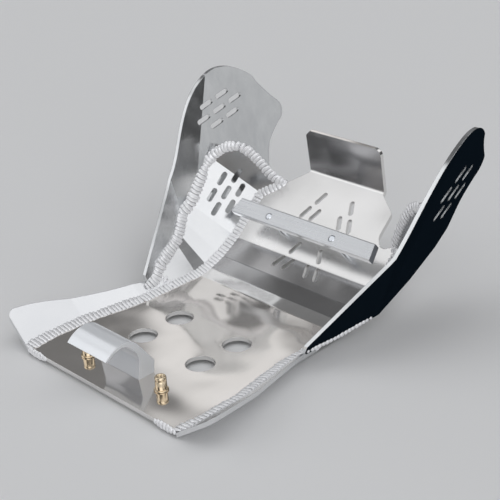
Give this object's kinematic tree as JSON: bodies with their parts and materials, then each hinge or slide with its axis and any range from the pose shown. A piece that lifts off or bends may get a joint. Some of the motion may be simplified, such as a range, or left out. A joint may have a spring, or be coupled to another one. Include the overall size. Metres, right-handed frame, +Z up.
{
  "type": "motorcycle skid plate",
  "caption": "Welded aluminium skid plate for a motorcycle: bent tray with slotted side wings, an upturned front flap, a clamp bar on bolts, a rear hook and brass threaded inserts.",
  "frame": {"origin": "underside of the flat floor, on its mirror plane, at the row of the rear drain holes", "axes": "+X to the right, +Y forward towards the flap, +Z up out of the floor"},
  "size_m": [0.3386, 0.3791, 0.1929],
  "materials": {
    "plate": "polished sheet",
    "weld": "rippled weld metal",
    "bar": "brushed along its length",
    "hook": "machined",
    "bolt": "bright steel",
    "insert": "plain brass"
  },
  "bodies": {
    "root": {"clamp_bar": "bar", "left_bar_bolt": "bolt", "left_corner_seam": "weld", "left_floor_seam": "weld", "left_gusset_seam": "weld", "left_insert": "insert", "left_joint_seam": "weld", "left_outer_seam": "weld", "left_rear_flange": "plate", "left_side_panel": "plate", "left_wing": "plate", "left_wing_seam": "weld", "main_plate": "plate", "rear_hook": "hook", "right_bar_bolt": "bolt", "right_corner_seam": "weld", "right_floor_seam": "weld", "right_gusset_seam": "weld", "right_insert": "insert", "right_joint_seam": "weld", "right_outer_seam": "weld", "right_rear_flange": "plate", "right_side_panel": "plate", "right_wing": "plate", "right_wing_seam": "weld"}
  },
  "joints": []
}
